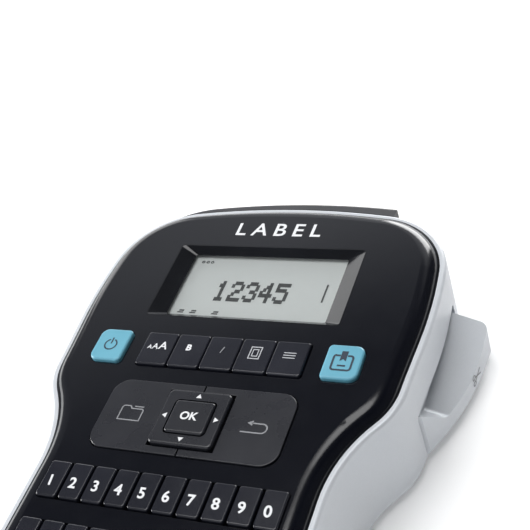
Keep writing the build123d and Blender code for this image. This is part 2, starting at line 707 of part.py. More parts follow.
# ================================================================ battery door and cells
with BuildPart() as battery_door:
    with BuildSketch(Plane.XY.offset(DOOR_Z)):
        with Locations((0, (BATTERY_DOOR_Y + BATTERY_DOOR_TOP) / 2)):
            Rectangle(2 * BATTERY_DOOR_HALF, BATTERY_DOOR_TOP - BATTERY_DOOR_Y)
    extrude(amount=DOOR_THICK)
    with BuildSketch(Plane.YZ.offset(-BATTERY_DOOR_HALF)):
        with Locations((BATTERY_DOOR_Y, BARREL_Z)):
            Circle(BARREL)
    extrude(amount=2 * BATTERY_DOOR_HALF)
    with BuildSketch(Plane.YZ.offset(-BATTERY_DOOR_HALF)):
        with Locations((BATTERY_DOOR_Y, BARREL_Z)):
            Circle(HINGE_PIN + RUNNING)
    extrude(amount=2 * BATTERY_DOOR_HALF, mode=Mode.SUBTRACT)
    # grip grooves for the thumb
    with BuildSketch(Plane.XY.offset(DOOR_Z)):
        with Locations((0, -32.0)):
            with GridLocations(1, 2.4, 1, 5):
                SlotOverall(18.0, 1.0)
    extrude(amount=0.5, mode=Mode.SUBTRACT)
save(battery_door.part, "battery_door")

with BuildPart() as hinge_pins:
    for pin_start, pin_length, pin_y in (
        (CASSETTE_DOOR_LEFT - 2.8, door_width + 5.6, CASSETTE_DOOR_Y),
        (-BATTERY_DOOR_HALF - 2.8, 2 * BATTERY_DOOR_HALF + 5.6, BATTERY_DOOR_Y),
    ):
        with BuildSketch(Plane.YZ.offset(pin_start)):
            with Locations((pin_y, BARREL_Z)):
                Circle(HINGE_PIN)
        extrude(amount=pin_length)
save(hinge_pins.part, "hinge_pins")

with BuildPart() as batteries:
    for cell in range(CELLS):
        cell_x = (cell - (CELLS - 1) / 2) * CELL_PITCH
        turned = cell % 2 == 1
        can_start = CELL_Y + (CELL_NUB if turned else 0)
        with BuildSketch(Plane.XZ.offset(-can_start)):
            with Locations((cell_x, CELL_Z)):
                Circle(CELL_RADIUS)
        extrude(amount=-CELL_LENGTH)
        nub_start = CELL_Y if turned else CELL_Y + CELL_LENGTH
        with BuildSketch(Plane.XZ.offset(-nub_start)):
            with Locations((cell_x, CELL_Z)):
                Circle(1.9)
        extrude(amount=-CELL_NUB)
save(batteries.part, "batteries")

with BuildPart() as battery_contacts:
    contact_width = 6.0
    for contact_y in (CELL_Y - 0.55, CELL_Y + CELL_LENGTH + CELL_NUB + 0.15):
        with BuildSketch(Plane.XZ.offset(-contact_y)):
            with Locations((0, CELL_Z + 2.5)):
                with GridLocations(CELL_PITCH, 1, CELLS, 1):
                    Rectangle(contact_width, 7.0)
        extrude(amount=-0.4)
save(battery_contacts.part, "battery_contacts")

# ================================================================ print chassis, head and motor
with BuildPart() as print_chassis:
    with BuildSketch(Plane.XY.offset(CHASSIS_Z)):
        with Locations((2.5, 57.0)):
            RectangleRounded(93.0, 60.0, 4.0)
        with Locations(*UPPER_POSTS):
            Circle(POST_RADIUS + 0.6)
        for side in (-1, 1):
            with Locations((side * 44.0, 29.0)):
                Rectangle(6.0, 10.0)
        with Locations(*UPPER_POSTS):
            Circle(SCREW_HOLE, mode=Mode.SUBTRACT)
        with Locations(PLATEN_AT):
            Circle(PLATEN_SHAFT + RUNNING, mode=Mode.SUBTRACT)
        with Locations(RIBBON_AT):
            Circle(SPINDLE + RUNNING, mode=Mode.SUBTRACT)
    extrude(amount=CHASSIS_THICK)
    # stud for the idler gear, and the tab that the cutter spring bears on
    with BuildSketch(Plane.XY.offset(CHASSIS_Z)):
        with Locations(IDLER_AT):
            Circle(STUD)
    extrude(amount=MOTOR_Z - CHASSIS_Z)
    with BuildSketch(Plane.XY.offset(CHASSIS_Z)):
        with Locations((SPRING_POST - 0.7, SPRING_Y)):
            Rectangle(1.4, 5.4)
    extrude(amount=7.0 - CHASSIS_Z)
    # two posts that carry the motor above the gears
    with BuildSketch(Plane.XY.offset(CHASSIS_Z)):
        with Locations((MOTOR_AT[0] - 4.6, MOTOR_AT[1] - 8.4), (MOTOR_AT[0] + 4.6, MOTOR_AT[1] - 8.4)):
            Circle(1.4)
    extrude(amount=MOTOR_Z - CHASSIS_Z)
save(print_chassis.part, "print_chassis")

with BuildPart() as drive_motor:
    with BuildSketch(Plane.XY.offset(MOTOR_Z)):
        with Locations(MOTOR_AT):
            Circle(MOTOR_RADIUS)
        with Locations((MOTOR_AT[0], MOTOR_AT[1] - 5.0)):
            Rectangle(12.0, 10.0)
        with Locations(MOTOR_AT):
            Circle(MOTOR_SHAFT + RUNNING, mode=Mode.SUBTRACT)
    extrude(amount=1.0)
    with BuildSketch(Plane.XY.offset(MOTOR_Z + 1.0)):
        with Locations(MOTOR_AT):
            Circle(MOTOR_RADIUS)
            Circle(MOTOR_SHAFT + RUNNING, mode=Mode.SUBTRACT)
    extrude(amount=6.6)
save(drive_motor.part, "drive_motor")

with BuildPart() as print_head:
    head_left = TAPE_X + TAPE_THICK + 0.1
    with BuildSketch(Plane.XY.offset(ROLLER_Z)):
        with Locations((head_left + 1.0, PLATEN_AT[1])):
            Rectangle(2.0, 6.0)
    extrude(amount=ROLLER_LENGTH)
    chamfer(print_head.edges().filter_by(Axis.Z), 0.5)
    with BuildSketch(Plane.XY.offset(ROLLER_Z + ROLLER_LENGTH)):
        with Locations((head_left + 1.0, PLATEN_AT[1])):
            Rectangle(1.6, 4.0)
    extrude(amount=CHASSIS_Z - ROLLER_Z - ROLLER_LENGTH)
save(print_head.part, "print_head")

# ================================================================ gear train
pinion_first = 0.0
idler_first = meshing_tooth(PINION_TEETH, pinion_first, IDLER_TEETH, MOTOR_TO_ROLLER)
platen_first = meshing_tooth(IDLER_TEETH, idler_first, ROLLER_TEETH, MOTOR_TO_ROLLER)
ribbon_first = meshing_tooth(IDLER_TEETH, idler_first, ROLLER_TEETH, RIBBON_BEARING)

with BuildPart() as motor_pinion:
    with BuildSketch(Plane.XY.offset(GEAR_Z)):
        add(gear_outline(PINION_TEETH, pinion_first, MOTOR_AT))
    extrude(amount=GEAR_THICK)
    with BuildSketch(Plane.XY.offset(GEAR_Z)):
        with Locations(MOTOR_AT):
            Circle(MOTOR_SHAFT)
    extrude(amount=9.0)
save(motor_pinion.part, "motor_pinion")


def gear(name, teeth, first_tooth, centre, bore):
    """A flat spur gear with a round bore."""
    with BuildPart() as wheel:
        with BuildSketch(Plane.XY.offset(GEAR_Z)):
            add(gear_outline(teeth, first_tooth, centre))
            with Locations(centre):
                Circle(bore, mode=Mode.SUBTRACT)
        extrude(amount=GEAR_THICK)
    save(wheel.part, name)


gear("idler_gear", IDLER_TEETH, idler_first, IDLER_AT, STUD + RUNNING)
gear("platen_gear", ROLLER_TEETH, platen_first, PLATEN_AT, PLATEN_SHAFT)
gear("spindle_gear", ROLLER_TEETH, ribbon_first, RIBBON_AT, SPINDLE)

with BuildPart() as platen_shaft:
    with BuildSketch(Plane.XY.offset(ROLLER_Z - 0.8)):
        with Locations(PLATEN_AT):
            Circle(PLATEN_SHAFT)
    extrude(amount=SHAFT_TOP - ROLLER_Z + 0.8)
save(platen_shaft.part, "platen_shaft")

with BuildPart() as platen_roller:
    with BuildSketch(Plane.XY.offset(ROLLER_Z)):
        with Locations(PLATEN_AT):
            Circle(PLATEN_RADIUS)
            Circle(PLATEN_SHAFT, mode=Mode.SUBTRACT)
    extrude(amount=ROLLER_LENGTH)
save(platen_roller.part, "platen_roller")

with BuildPart() as ribbon_spindle:
    with BuildSketch(Plane.XY.offset(HUB_Z)):
        with Locations(RIBBON_AT):
            Circle(SPINDLE)
    extrude(amount=SHAFT_TOP - HUB_Z)
save(ribbon_spindle.part, "ribbon_spindle")

# ================================================================ tape cassette
with BuildSketch() as cassette_plan:
    with Locations(
        ((CASSETTE_LEFT + CASSETTE_RIGHT) / 2, (CASSETTE_LOW + CASSETTE_HIGH) / 2),
    ):
        Rectangle(CASSETTE_RIGHT - CASSETTE_LEFT, CASSETTE_HIGH - CASSETTE_LOW)
    fillet(cassette_plan.vertices(), CASSETTE_CORNER)
    with Locations((NOTCH_X + 10.0, NOTCH_Y + 10.0)):
        Rectangle(20.0, 20.0, mode=Mode.SUBTRACT)

with BuildPart() as cassette_shell:
    with BuildSketch(Plane.XY.offset(CASSETTE_Z)):
        add(cassette_plan.sketch)
    extrude(amount=CASSETTE_THICK)
    with BuildSketch(Plane.XY.offset(CASSETTE_Z + CASSETTE_WALL)):
        add(cassette_plan.sketch)
        offset(amount=-CASSETTE_WALL)
    extrude(amount=CASSETTE_THICK - 2 * CASSETTE_WALL, mode=Mode.SUBTRACT)
    with BuildSketch(Plane.XY.offset(CASSETTE_Z + CASSETTE_THICK / 2)):
        with Locations(RIBBON_AT):
            Circle(SPINDLE + 1.0)
    extrude(amount=CASSETTE_THICK, mode=Mode.SUBTRACT)
save(cassette_shell.part, "cassette_shell")

with BuildPart() as tape_roll:
    with BuildSketch(Plane.XY.offset(TAPE_Z)):
        with Locations(TAPE_ROLL_AT):
            Circle(TAPE_ROLL_RADIUS)
            Circle(TAPE_ROLL_BORE, mode=Mode.SUBTRACT)
    extrude(amount=TAPE_WIDTH)
save(tape_roll.part, "tape_roll")

with BuildPart() as ribbon_hub:
    with BuildSketch(Plane.XY.offset(HUB_Z)):
        with Locations(RIBBON_AT):
            Circle(6.0)
            Circle(SPINDLE, mode=Mode.SUBTRACT)
    extrude(amount=14.0)
save(ribbon_hub.part, "ribbon_hub")

with BuildPart() as label_tape:
    with BuildSketch(Plane.XY.offset(TAPE_Z)):
        with Locations((TAPE_X + TAPE_THICK / 2, (NOTCH_Y + 0.6 + SLIDER_ARM_LOW - 0.4) / 2)):
            Rectangle(TAPE_THICK, SLIDER_ARM_LOW - 0.4 - NOTCH_Y - 0.6)
    extrude(amount=TAPE_WIDTH)
save(label_tape.part, "label_tape")

# ================================================================ cutter
def ramp_point(y, z):
    """Point of the thumb ramp's profile: z is its height over the back plane where the ramp starts."""
    return (y, z * math.cos(RAMP_TILT))


# the thumb ramp falls outwards, and runs from a lip near the pivot up to the lever's free end
ramp_plane = Plane(
    origin=(RAMP_START, 0, 0),
    x_dir=(0, 1, 0),
    z_dir=(math.cos(RAMP_TILT), 0, -math.sin(RAMP_TILT)),
)
with BuildPart() as thumb_ramp:
    with BuildSketch(ramp_plane) as ramp_profile:
        with BuildLine():
            ramp_foot = ramp_point(RAMP_LOW_Y + 9.4, 12.2)
            ramp_end = ramp_point(RAMP_HIGH_Y, 20.5)
            lip = ramp_point(RAMP_LOW_Y, 22.4)
            ThreePointArc(ramp_foot, ramp_point(59.0, 14.9), ramp_end)
            Polyline(
                ramp_end,
                ramp_point(RAMP_HIGH_Y, RAMP_TOP),
                ramp_point(RAMP_LOW_Y, RAMP_TOP),
                lip,
                ramp_foot,
            )
        make_face()
        fillet(ramp_profile.vertices().sort_by(Axis.Z)[0], 3.5)
    extrude(amount=20.0, both=True)
    split(bisect_by=Plane.YZ.offset(RAMP_START), keep=Keep.TOP)

with BuildPart() as cutter_lever:
    knuckle = 3.2
    nose = (47.9, 70.0)
    with BuildSketch(Plane.XY.offset(LEVER_LOW_Z)) as lever_plan:
        with BuildLine():
            outer_low = (56.0, 32.6)
            outer_high = (66.0, 69.0)
            shoulder_low = (53.6, 31.4)
            ThreePointArc(outer_low, (62.9, 50.0), outer_high)
            Polyline(
                outer_high,
                (66.3, LEVER_END),
                (50.6, LEVER_END),
                (nose[0] + 0.3, 71.6),
                nose,
                (nose[0] + 0.3, nose[1] - 2.0),
                (50.6, 66.0),
                (49.0, 38.0),
                (49.0, 32.6),
                shoulder_low,
                outer_low,
            )
        make_face()
        fillet(lever_plan.vertices().sort_by(lambda v: v.X + v.Y)[-1], 2.0)
        with Locations(LEVER_PIVOT):
            Circle(knuckle)
            Circle(LEVER_PIN + RUNNING, mode=Mode.SUBTRACT)
    extrude(amount=LEVER_HIGH_Z - LEVER_LOW_Z)
    add(thumb_ramp.part, mode=Mode.SUBTRACT)
    outer_edges = cutter_lever.edges().filter_by(lambda e: e.center().X > 58.0)
    fillet(outer_edges.filter_by(lambda e: e.center().Z == LEVER_LOW_Z), 1.2)
save(cutter_lever.part, "cutter_lever")

with BuildPart() as cutter_pivot_pin:
    with BuildSketch():
        with Locations(LEVER_PIVOT):
            Circle(LEVER_PIN)
    extrude(amount=LEVER_HIGH_Z + 0.8)
save(cutter_pivot_pin.part, "cutter_pivot_pin")

with BuildPart() as cutter_slider:
    with BuildSketch(Plane.XY.offset(SLIDER_Z)):
        with BuildLine():
            Polyline(
                (SLIDER_LEFT, SLIDER_LOW),
                (SLIDER_RIGHT, SLIDER_LOW),
                (SLIDER_RIGHT, SLIDER_HIGH - 0.8),
                (SLIDER_RIGHT - 0.8, SLIDER_HIGH),
                (SLIDER_ARM_LEFT, SLIDER_HIGH),
                (SLIDER_ARM_LEFT, SLIDER_ARM_LOW),
                (SLIDER_LEFT, SLIDER_ARM_LOW),
                close=True,
            )
        make_face()
        # slot that holds the blade
        with Locations((SLIDER_ARM_LEFT + 1.5, BLADE_Y + BLADE_THICK / 2)):
            Rectangle(3.0, BLADE_THICK, mode=Mode.SUBTRACT)
    extrude(amount=SLIDER_TALL)
save(cutter_slider.part, "cutter_slider")

with BuildPart() as cutter_blade:
    with BuildSketch(Plane.XY.offset(SLIDER_Z + 0.4)):
        with BuildLine():
            Polyline(
                (BLADE_EDGE, BLADE_Y),
                (BLADE_EDGE + 1.0, BLADE_Y + BLADE_THICK),
                (SLIDER_ARM_LEFT + 2.9, BLADE_Y + BLADE_THICK),
                (SLIDER_ARM_LEFT + 2.9, BLADE_Y),
                close=True,
            )
        make_face()
    extrude(amount=SLIDER_TALL - 0.8)
save(cutter_blade.part, "cutter_blade")

with BuildPart() as cutter_spring:
    spring_length = SLIDER_LEFT - SPRING_POST - 2 * SPRING_WIRE - 0.1
    spring_start = (SPRING_POST + SPRING_WIRE + 0.05, SPRING_Y, SPRING_Z)
    with BuildLine() as coil:
        Helix(
            spring_length / SPRING_TURNS,
            spring_length,
            SPRING_RADIUS,
            center=spring_start,
            direction=(1, 0, 0),
        )
    with BuildSketch(Plane(origin=coil.line @ 0, z_dir=coil.line % 0)):
        Circle(SPRING_WIRE)
    sweep(path=coil.line)
save(cutter_spring.part, "cutter_spring")

# ================================================================ screws
with BuildPart() as case_screws:
    with BuildSketch(Plane.XY.offset(DOOR_Z)):
        with Locations(*UPPER_POSTS, *LOWER_POSTS):
            Circle(HEAD_RADIUS)
    extrude(amount=1.3)
    with BuildSketch(Plane.XY.offset(DOOR_Z)):
        with Locations(*UPPER_POSTS, *LOWER_POSTS):
            Circle(SCREW_RADIUS)
    extrude(amount=SCREW_TIP - DOOR_Z)
    # cross recesses in the heads
    with BuildSketch(Plane.XY.offset(DOOR_Z)):
        with Locations(*UPPER_POSTS, *LOWER_POSTS):
            Rectangle(2.0, 0.5)
            Rectangle(0.5, 2.0)
    extrude(amount=0.8, mode=Mode.SUBTRACT)
save(case_screws.part, "case_screws")
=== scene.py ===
"""Looks of the handheld label printer: materials, legends, icons, display contents, stage and camera."""
import json
import math

import bmesh
import bpy
from mathutils import Matrix, Vector


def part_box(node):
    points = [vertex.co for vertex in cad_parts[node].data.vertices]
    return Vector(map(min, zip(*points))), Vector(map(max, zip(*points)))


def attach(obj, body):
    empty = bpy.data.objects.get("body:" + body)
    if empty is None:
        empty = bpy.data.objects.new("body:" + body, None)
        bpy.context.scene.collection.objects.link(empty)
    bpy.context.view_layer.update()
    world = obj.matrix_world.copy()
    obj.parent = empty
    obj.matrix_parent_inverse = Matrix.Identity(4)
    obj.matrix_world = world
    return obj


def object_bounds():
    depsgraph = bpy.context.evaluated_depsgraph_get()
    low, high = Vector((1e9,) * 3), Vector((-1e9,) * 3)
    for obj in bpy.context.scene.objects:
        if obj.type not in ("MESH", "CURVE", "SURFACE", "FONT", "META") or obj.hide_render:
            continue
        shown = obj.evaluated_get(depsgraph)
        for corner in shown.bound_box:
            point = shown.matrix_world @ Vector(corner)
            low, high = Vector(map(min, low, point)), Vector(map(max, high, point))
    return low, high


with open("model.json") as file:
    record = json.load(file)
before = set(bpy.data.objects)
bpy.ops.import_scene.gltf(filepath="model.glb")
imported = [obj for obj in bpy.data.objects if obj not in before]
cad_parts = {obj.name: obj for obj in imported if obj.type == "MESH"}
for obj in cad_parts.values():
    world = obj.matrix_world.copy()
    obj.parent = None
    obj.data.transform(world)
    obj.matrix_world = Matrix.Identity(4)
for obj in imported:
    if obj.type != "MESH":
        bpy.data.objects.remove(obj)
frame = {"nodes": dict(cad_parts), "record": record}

cad_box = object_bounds()

MM = 0.001
INK_LIFT = 0.02 * MM      # how far printed marks stand off their surface
INK_THICK = 0.03 * MM


# ---------------------------------------------------------------- places read from the frame
def middle(node):
    """Centre of a node's box, and its top height."""
    low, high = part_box(node)
    return (low[0] + high[0]) / 2, (low[1] + high[1]) / 2, high[2]


# ---------------------------------------------------------------- materials
class Nodes:
    """Builds one node material with a few words."""

    def __init__(self, name):
        self.material = bpy.data.materials.new(name)
        self.material.use_nodes = True
        self.tree = self.material.node_tree
        self.shader = self.tree.nodes["Principled BSDF"]
        self.coordinates = self.tree.nodes.new("ShaderNodeTexCoord").outputs["Object"]

    def add(self, kind, **inputs):
        node = self.tree.nodes.new(kind)
        for key, value in inputs.items():
            self.feed(node.inputs[key.replace("_", " ")], value)
        return node

    def feed(self, socket, value):
        if isinstance(value, bpy.types.NodeSocket):
            self.tree.links.new(value, socket)
        else:
            socket.default_value = value

    def stretched(self, scale):
        mapping = self.tree.nodes.new("ShaderNodeMapping")
        mapping.inputs["Scale"].default_value = scale
        self.tree.links.new(self.coordinates, mapping.inputs["Vector"])
        return mapping.outputs["Vector"]

    def noise(self, scale, detail=3.0, rough=0.5, vector=None):
        node = self.add("ShaderNodeTexNoise", Scale=scale, Detail=detail, Roughness=rough)
        self.tree.links.new(vector or self.coordinates, node.inputs["Vector"])
        return node.outputs["Fac"]

    def ramp(self, value, stops):
        node = self.tree.nodes.new("ShaderNodeValToRGB")
        self.tree.links.new(value, node.inputs["Fac"])
        elements = node.color_ramp.elements
        while len(elements) < len(stops):
            elements.new(0.5)
        for element, (position, colour) in zip(elements, stops):
            element.position = position
            element.color = (*colour, 1.0) if len(colour) == 3 else colour
        return node.outputs["Color"]

    def spread(self, value, low, high, from_low=0.3, from_high=0.7):
        node = self.tree.nodes.new("ShaderNodeMapRange")
        for key, number in (("From Min", from_low), ("From Max", from_high), ("To Min", low), ("To Max", high)):
            node.inputs[key].default_value = number
        self.tree.links.new(value, node.inputs["Value"])
        return node.outputs["Result"]

    def bump(self, *layers):
        """Stacks bump layers given as (height, depth in metres)."""
        normal = None
        for height, depth in layers:
            node = self.tree.nodes.new("ShaderNodeBump")
            node.inputs["Strength"].default_value = 1.0
            node.inputs["Distance"].default_value = depth
            self.tree.links.new(height, node.inputs["Height"])
            if normal is not None:
                self.tree.links.new(normal, node.inputs["Normal"])
            normal = node.outputs["Normal"]
        self.tree.links.new(normal, self.shader.inputs["Normal"])


def moulded(name, dark, light, rough, grain=5200.0, depth=0.006, metallic=0.0, coat=0.0, specular=0.5, even=1.0):
    """Moulded plastic: slow colour drift, a fine etched grain and uneven gloss."""
    made = Nodes(name)
    drift = made.noise(38.0, 4.0)
    made.feed(made.shader.inputs["Base Color"], made.ramp(drift, [(0.32, dark), (0.68, light)]))
    made.feed(made.shader.inputs["Roughness"], made.spread(made.noise(140.0, 5.0), rough - 0.04 * even, rough + 0.05 * even))
    made.shader.inputs["Metallic"].default_value = metallic
    made.shader.inputs["Coat Weight"].default_value = coat
    made.shader.inputs["Coat Roughness"].default_value = 0.12
    made.shader.inputs["Specular IOR Level"].default_value = specular
    made.bump((made.noise(grain, 2.0), depth * MM), (made.noise(300.0, 2.0), 0.004 * MM))
    return made.material


def metal(name, dark, light, rough, brushed=(1.0, 1.0, 12.0), metallic=1.0):
    """Metal with brush lines along one axis."""
    made = Nodes(name)
    lines = made.noise(900.0, 4.0, 0.6, made.stretched(brushed))
    made.feed(made.shader.inputs["Base Color"], made.ramp(lines, [(0.3, dark), (0.7, light)]))
    made.feed(made.shader.inputs["Roughness"], made.spread(lines, rough - 0.06, rough + 0.08))
    made.shader.inputs["Metallic"].default_value = metallic
    made.bump((lines, 0.004 * MM))
    return made.material


def silver_paint():
    """Silver lacquer with fine metal flake over a smooth moulding."""
    made = Nodes("silver_paint")
    flake = made.noise(9000.0, 1.0)
    drift = made.noise(30.0, 3.0)
    flakes = made.ramp(flake, [(0.35, (0.60, 0.625, 0.655)), (0.65, (0.68, 0.705, 0.735))])
    mixed = made.tree.nodes.new("ShaderNodeMixRGB")
    mixed.blend_type = "MULTIPLY"
    mixed.inputs["Fac"].default_value = 0.5
    made.tree.links.new(flakes, mixed.inputs["Color1"])
    made.tree.links.new(made.ramp(drift, [(0.3, (0.93, 0.94, 0.96)), (0.7, (1, 1, 1))]), mixed.inputs["Color2"])
    made.feed(made.shader.inputs["Base Color"], mixed.outputs["Color"])
    made.shader.inputs["Metallic"].default_value = 0.15
    made.feed(made.shader.inputs["Roughness"], made.spread(made.noise(120.0, 4.0), 0.32, 0.42))
    made.shader.inputs["Coat Weight"].default_value = 0.05
    made.shader.inputs["Coat Roughness"].default_value = 0.2
    made.bump((made.noise(7000.0, 1.0), 0.004 * MM), (made.noise(90.0, 2.0), 0.01 * MM))
    return made.material


def lcd_material():
    """Liquid crystal panel: pale grey-green with the faint grid of its pixels."""
    made = Nodes("lcd_face")
    brick = made.add("ShaderNodeTexBrick", Scale=1.0)
    brick.offset = 0.0
    brick.inputs["Brick Width"].default_value = 0.55 * MM
    brick.inputs["Row Height"].default_value = 0.55 * MM
    brick.inputs["Mortar Size"].default_value = 0.03 * MM
    brick.inputs["Color1"].default_value = (0.50, 0.53, 0.52, 1)
    brick.inputs["Color2"].default_value = (0.52, 0.55, 0.54, 1)
    brick.inputs["Mortar"].default_value = (0.46, 0.49, 0.48, 1)
    made.tree.links.new(made.coordinates, brick.inputs["Vector"])
    made.feed(made.shader.inputs["Base Color"], brick.outputs["Color"])
    made.feed(made.shader.inputs["Roughness"], made.spread(made.noise(200.0), 0.3, 0.4))
    made.bump((made.noise(6000.0), 0.002 * MM))
    return made.material


def window_material():
    """Clear acrylic with a faint film of wipe marks."""
    made = Nodes("window_acrylic")
    made.feed(made.shader.inputs["Base Color"], made.ramp(made.noise(60.0), [(0, (0.30, 0.32, 0.32)), (1, (0.40, 0.42, 0.42))]))
    made.feed(made.shader.inputs["Roughness"], made.spread(made.noise(150.0, 5.0), 0.03, 0.1))
    made.shader.inputs["Alpha"].default_value = 0.06
    made.bump((made.noise(80.0), 0.003 * MM))
    return made.material


def printed(name, dark, light, rough=0.5):
    """Printed ink with slightly uneven cover."""
    made = Nodes(name)
    made.feed(made.shader.inputs["Base Color"], made.ramp(made.noise(2500.0), [(0.3, dark), (0.7, light)]))
    made.feed(made.shader.inputs["Roughness"], made.spread(made.noise(900.0), rough - 0.05, rough + 0.1))
    made.bump((made.noise(8000.0), 0.003 * MM))
    return made.material


FACE = moulded("face_black_plastic", (0.0042, 0.0048, 0.0080), (0.0050, 0.0057, 0.0092), 0.14, even=0.3)
BEZEL = moulded("bezel_plastic", (0.006, 0.0065, 0.0085), (0.010, 0.011, 0.014), 0.15, even=0.5)
KEY = moulded("key_plastic", (0.009, 0.0100, 0.016), (0.013, 0.0142, 0.022), 0.22, even=0.5)
NAV = moulded("nav_plastic", (0.014, 0.015, 0.020), (0.018, 0.019, 0.025), 0.28, even=0.5)
BLUE = moulded("blue_key_plastic", (0.12, 0.38, 0.50), (0.16, 0.45, 0.58), 0.34, grain=4200.0)
DOOR = moulded("door_plastic", (0.030, 0.031, 0.035), (0.045, 0.046, 0.051), 0.52, grain=2600.0, depth=0.02)
INNER = moulded("inner_plastic", (0.010, 0.010, 0.011), (0.02, 0.02, 0.021), 0.5)
CASSETTE = moulded("cassette_plastic", (0.10, 0.105, 0.11), (0.14, 0.145, 0.15), 0.42)
ACETAL = moulded("gear_acetal", (0.60, 0.59, 0.54), (0.70, 0.69, 0.64), 0.36)
RUBBER = moulded("roller_rubber", (0.012, 0.012, 0.012), (0.022, 0.022, 0.022), 0.75, grain=3000.0, depth=0.02)
MEMBRANE = moulded("membrane_rubber", (0.03, 0.03, 0.032), (0.045, 0.045, 0.047), 0.65)
BOARD = moulded("board_mask", (0.01, 0.09, 0.035), (0.02, 0.13, 0.05), 0.35, coat=0.4)
TAPE = moulded("label_tape_film", (0.74, 0.74, 0.72), (0.82, 0.82, 0.80), 0.35)
SLEEVE = moulded("cell_sleeve", (0.012, 0.012, 0.015), (0.03, 0.03, 0.036), 0.28, coat=0.3)
CERAMIC = moulded("head_ceramic", (0.5, 0.48, 0.43), (0.6, 0.58, 0.53), 0.4)
SILVER = silver_paint()
STEEL = metal("bright_steel", (0.42, 0.42, 0.43), (0.62, 0.62, 0.64), 0.3)
BLADE = metal("blade_steel", (0.5, 0.51, 0.53), (0.75, 0.76, 0.78), 0.22, (12.0, 1.0, 1.0))
BRASS = metal("pinion_brass", (0.55, 0.38, 0.14), (0.74, 0.55, 0.25), 0.28)
LCD = lcd_material()
WINDOW = window_material()
WHITE_INK = printed("white_ink", (0.74, 0.75, 0.77), (0.86, 0.87, 0.88))
PALE_INK = printed("pale_ink", (0.42, 0.43, 0.45), (0.52, 0.53, 0.55))
GREY_INK = printed("grey_ink", (0.22, 0.225, 0.24), (0.28, 0.285, 0.30))
DARK_INK = printed("dark_ink", (0.010, 0.022, 0.04), (0.02, 0.035, 0.06))
LCD_INK = printed("lcd_segments", (0.010, 0.012, 0.013), (0.016, 0.019, 0.020), 0.6)

SLOT_LOOKS = {
    "face_black": FACE, "bezel_grey": BEZEL, "clear_window": WINDOW, "lcd_glass": LCD,
    "inner_plastic": INNER, "board_green": BOARD, "membrane_rubber": MEMBRANE,
    "silver_case": SILVER, "dark_grey_door": DOOR, "steel": STEEL, "battery_wrap": SLEEVE,
    "contact_plate": STEEL, "print_head_ceramic": CERAMIC, "motor_can": STEEL,
    "gear_brass": BRASS, "gear_plastic": ACETAL, "roller_rubber": RUBBER,
    "cassette_grey": CASSETTE, "label_tape_white": TAPE, "blade_steel": BLADE,
    "key_charcoal": KEY, "key_blue": BLUE,
}
NAV_NODES = ("memory_key", "back_key", "nav_pad", "ok_key")

for subpart in frame["record"]["subparts"]:
    node = subpart["node"]
    look = NAV if node in NAV_NODES else SLOT_LOOKS[subpart["material_slot"]]
    mesh = frame["nodes"][node].data
    mesh.materials.clear()
    mesh.materials.append(look)


# ---------------------------------------------------------------- printed marks
def mark(name, body, material, outlines, height):
    """Raised flat marks from closed outlines of (x, y) points, all at one height, on one body."""
    piece_mesh = bmesh.new()
    for outline in outlines:
        base = [piece_mesh.verts.new((x, y, height + INK_LIFT)) for x, y in outline]
        top = [piece_mesh.verts.new((x, y, height + INK_LIFT + INK_THICK)) for x, y in outline]
        count = len(outline)
        piece_mesh.faces.new(top)
        piece_mesh.faces.new(list(reversed(base)))
        for i in range(count):
            j = (i + 1) % count
            piece_mesh.faces.new((base[i], base[j], top[j], top[i]))
    bmesh.ops.recalc_face_normals(piece_mesh, faces=piece_mesh.faces)
    data = bpy.data.meshes.new(name)
    piece_mesh.to_mesh(data)
    piece_mesh.free()
    piece = bpy.data.objects.new(name, data)
    bpy.context.scene.collection.objects.link(piece)
    data.materials.append(material)
    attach(piece, body)
    return piece


def stroke(points, width):
    """Outlines of the quadrilaterals of a line drawn along a path, mitred so that none overlap."""
    path = [Vector(point) for point in points]
    closed = (path[0] - path[-1]).length < 0.01
    ways = [(after - before).normalized() for before, after in zip(path, path[1:])]
    sides = []
    for i, point in enumerate(path):
        way_in = ways[i - 1] if i or closed else ways[0]
        way_out = ways[i % len(ways)] if i < len(ways) or closed else ways[-1]
        bisector = (way_in + way_out).normalized()
        reach = width / 2 / max(0.5, bisector.dot(way_in))
        offset = Vector((-bisector.y, bisector.x)) * reach
        if not closed and i in (0, len(ways)):
            point = point + way_out * (width / 2 if i else -width / 2)
        sides.append((point + offset, point - offset))
    return [
        [(p.x, p.y) for p in (sides[i][0], sides[i][1], sides[i + 1][1], sides[i + 1][0])]
        for i in range(len(ways))
    ]


def arc(centre, radius, start, end, steps=20):
    """Points along an arc, angles in degrees."""
    return [
        (
            centre[0] + radius * math.cos(math.radians(start + (end - start) * i / steps)),
            centre[1] + radius * math.sin(math.radians(start + (end - start) * i / steps)),
        )
        for i in range(steps + 1)
    ]


def placed(outlines, x, y, scale=MM):
    """Moves outlines drawn in millimetres about the origin to a place in metres."""
    return [[(x + px * scale, y + py * scale) for px, py in outline] for outline in outlines]


